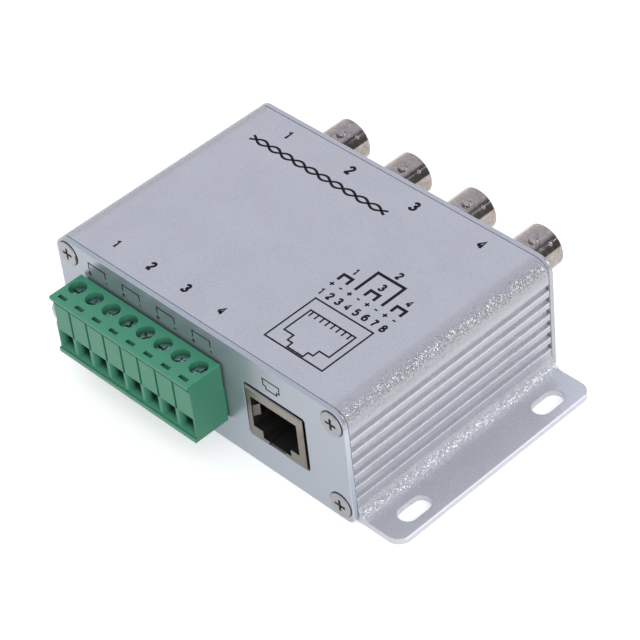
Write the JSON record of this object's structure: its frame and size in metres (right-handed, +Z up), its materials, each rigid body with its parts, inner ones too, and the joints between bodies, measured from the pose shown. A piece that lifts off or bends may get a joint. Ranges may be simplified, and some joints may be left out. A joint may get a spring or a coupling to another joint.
{
  "type": "passive video balun",
  "caption": "Flanged aluminium box that joins coaxial video sockets to a pull-off screw terminal and a shielded network jack.",
  "frame": {"origin": "bottom centre of the whole part, on the underside of the flanges", "axes": "+X to the right seen from the plug's side, +Y towards the coaxial sockets, +Z up through the lid"},
  "size_m": [0.1028, 0.0786, 0.028],
  "materials": {
    "anodised_case": "fine bead-blasted clear anodise",
    "end_plates": "fine bead-blasted clear anodise",
    "plate_screws": "zinc-plated",
    "board": "solder-masked glass laminate",
    "header_plastic": "moulded",
    "plug_plastic": "moulded",
    "tinned_brass": "tin-plated",
    "clamp_steel": "zinc-plated",
    "clamp_brass": "nickel-plated",
    "jack_shell": "nickel-plated sheet",
    "jack_plastic": "moulded black",
    "gold_wire": "gold-plated spring wire",
    "bnc_shell": "nickel-plated die casting",
    "bnc_plastic": "moulded white",
    "gold_contact": "gold-plated",
    "bnc_hardware": "nickel-plated",
    "transformer_plastic": "moulded black",
    "tinned_leads": "tin-plated",
    "arrester_body": "moulded black",
    "capacitor_body": "ceramic chip"
  },
  "bodies": {
    "box": {"bnc_body_1": "bnc_shell", "bnc_body_2": "bnc_shell", "bnc_body_3": "bnc_shell", "bnc_body_4": "bnc_shell", "bnc_contact_1": "gold_contact", "bnc_contact_2": "gold_contact", "bnc_contact_3": "gold_contact", "bnc_contact_4": "gold_contact", "bnc_insulator_1": "bnc_plastic", "bnc_insulator_2": "bnc_plastic", "bnc_insulator_3": "bnc_plastic", "bnc_insulator_4": "bnc_plastic", "bnc_nuts": "bnc_hardware", "bnc_washers": "bnc_hardware", "circuit_board": "board", "enclosure": "anodised_case", "filter_capacitors": "capacitor_body", "front_plate": "end_plates", "front_plate_screws": "plate_screws", "header_housing": "header_plastic", "header_pins": "tinned_brass", "jack_contacts": "gold_wire", "jack_housing": "jack_plastic", "jack_shield": "jack_shell", "rear_plate": "end_plates", "rear_plate_screws": "plate_screws", "surge_arresters": "arrester_body", "transformer_1": "transformer_plastic", "transformer_2": "transformer_plastic", "transformer_3": "transformer_plastic", "transformer_4": "transformer_plastic", "transformer_leads": "tinned_leads"},
    "plug": {"plug_housing": "plug_plastic", "plug_contacts": "tinned_brass"},
    "screw_1": {"clamp_screw_1": "clamp_steel"},
    "cage_1": {"clamp_cage_1": "clamp_brass"},
    "screw_2": {"clamp_screw_2": "clamp_steel"},
    "cage_2": {"clamp_cage_2": "clamp_brass"},
    "screw_3": {"clamp_screw_3": "clamp_steel"},
    "cage_3": {"clamp_cage_3": "clamp_brass"},
    "screw_4": {"clamp_screw_4": "clamp_steel"},
    "cage_4": {"clamp_cage_4": "clamp_brass"},
    "screw_5": {"clamp_screw_5": "clamp_steel"},
    "cage_5": {"clamp_cage_5": "clamp_brass"},
    "screw_6": {"clamp_screw_6": "clamp_steel"},
    "cage_6": {"clamp_cage_6": "clamp_brass"},
    "screw_7": {"clamp_screw_7": "clamp_steel"},
    "cage_7": {"clamp_cage_7": "clamp_brass"},
    "screw_8": {"clamp_screw_8": "clamp_steel"},
    "cage_8": {"clamp_cage_8": "clamp_brass"}
  },
  "joints": [
    {"name": "plug_pull", "type": "slide", "parent": "box", "child": "plug", "axis": [0, -1, 0], "range_m": [0, 0.012]},
    {"name": "screw_1_turn", "type": "hinge", "parent": "plug", "child": "screw_1", "pos_m": [-0.03077, -0.03395, 0.01873], "axis": [0, 0, 1], "range_deg": [-1440, 0]},
    {"name": "cage_1_lift", "type": "slide", "parent": "plug", "child": "cage_1", "axis": [0, 0, 1], "range_m": [0, 0.002]},
    {"name": "screw_2_turn", "type": "hinge", "parent": "plug", "child": "screw_2", "pos_m": [-0.02569, -0.03395, 0.01873], "axis": [0, 0, 1], "range_deg": [-1440, 0]},
    {"name": "cage_2_lift", "type": "slide", "parent": "plug", "child": "cage_2", "axis": [0, 0, 1], "range_m": [0, 0.002]},
    {"name": "screw_3_turn", "type": "hinge", "parent": "plug", "child": "screw_3", "pos_m": [-0.02061, -0.03395, 0.01873], "axis": [0, 0, 1], "range_deg": [-1440, 0]},
    {"name": "cage_3_lift", "type": "slide", "parent": "plug", "child": "cage_3", "axis": [0, 0, 1], "range_m": [0, 0.002]},
    {"name": "screw_4_turn", "type": "hinge", "parent": "plug", "child": "screw_4", "pos_m": [-0.01553, -0.03395, 0.01873], "axis": [0, 0, 1], "range_deg": [-1440, 0]},
    {"name": "cage_4_lift", "type": "slide", "parent": "plug", "child": "cage_4", "axis": [0, 0, 1], "range_m": [0, 0.002]},
    {"name": "screw_5_turn", "type": "hinge", "parent": "plug", "child": "screw_5", "pos_m": [-0.01045, -0.03395, 0.01873], "axis": [0, 0, 1], "range_deg": [-1440, 0]},
    {"name": "cage_5_lift", "type": "slide", "parent": "plug", "child": "cage_5", "axis": [0, 0, 1], "range_m": [0, 0.002]},
    {"name": "screw_6_turn", "type": "hinge", "parent": "plug", "child": "screw_6", "pos_m": [-0.00537, -0.03395, 0.01873], "axis": [0, 0, 1], "range_deg": [-1440, 0]},
    {"name": "cage_6_lift", "type": "slide", "parent": "plug", "child": "cage_6", "axis": [0, 0, 1], "range_m": [0, 0.002]},
    {"name": "screw_7_turn", "type": "hinge", "parent": "plug", "child": "screw_7", "pos_m": [-0.00029, -0.03395, 0.01873], "axis": [0, 0, 1], "range_deg": [-1440, 0]},
    {"name": "cage_7_lift", "type": "slide", "parent": "plug", "child": "cage_7", "axis": [0, 0, 1], "range_m": [0, 0.002]},
    {"name": "screw_8_turn", "type": "hinge", "parent": "plug", "child": "screw_8", "pos_m": [0.00479, -0.03395, 0.01873], "axis": [0, 0, 1], "range_deg": [-1440, 0]},
    {"name": "cage_8_lift", "type": "slide", "parent": "plug", "child": "cage_8", "axis": [0, 0, 1], "range_m": [0, 0.002]}
  ],
  "couplings": [
    {"joint": "screw_1_turn", "follows": "cage_1_lift", "rad_per_m": -12566},
    {"joint": "screw_2_turn", "follows": "cage_2_lift", "rad_per_m": -12566},
    {"joint": "screw_3_turn", "follows": "cage_3_lift", "rad_per_m": -12566},
    {"joint": "screw_4_turn", "follows": "cage_4_lift", "rad_per_m": -12566},
    {"joint": "screw_5_turn", "follows": "cage_5_lift", "rad_per_m": -12566},
    {"joint": "screw_6_turn", "follows": "cage_6_lift", "rad_per_m": -12566},
    {"joint": "screw_7_turn", "follows": "cage_7_lift", "rad_per_m": -12566},
    {"joint": "screw_8_turn", "follows": "cage_8_lift", "rad_per_m": -12566}
  ]
}
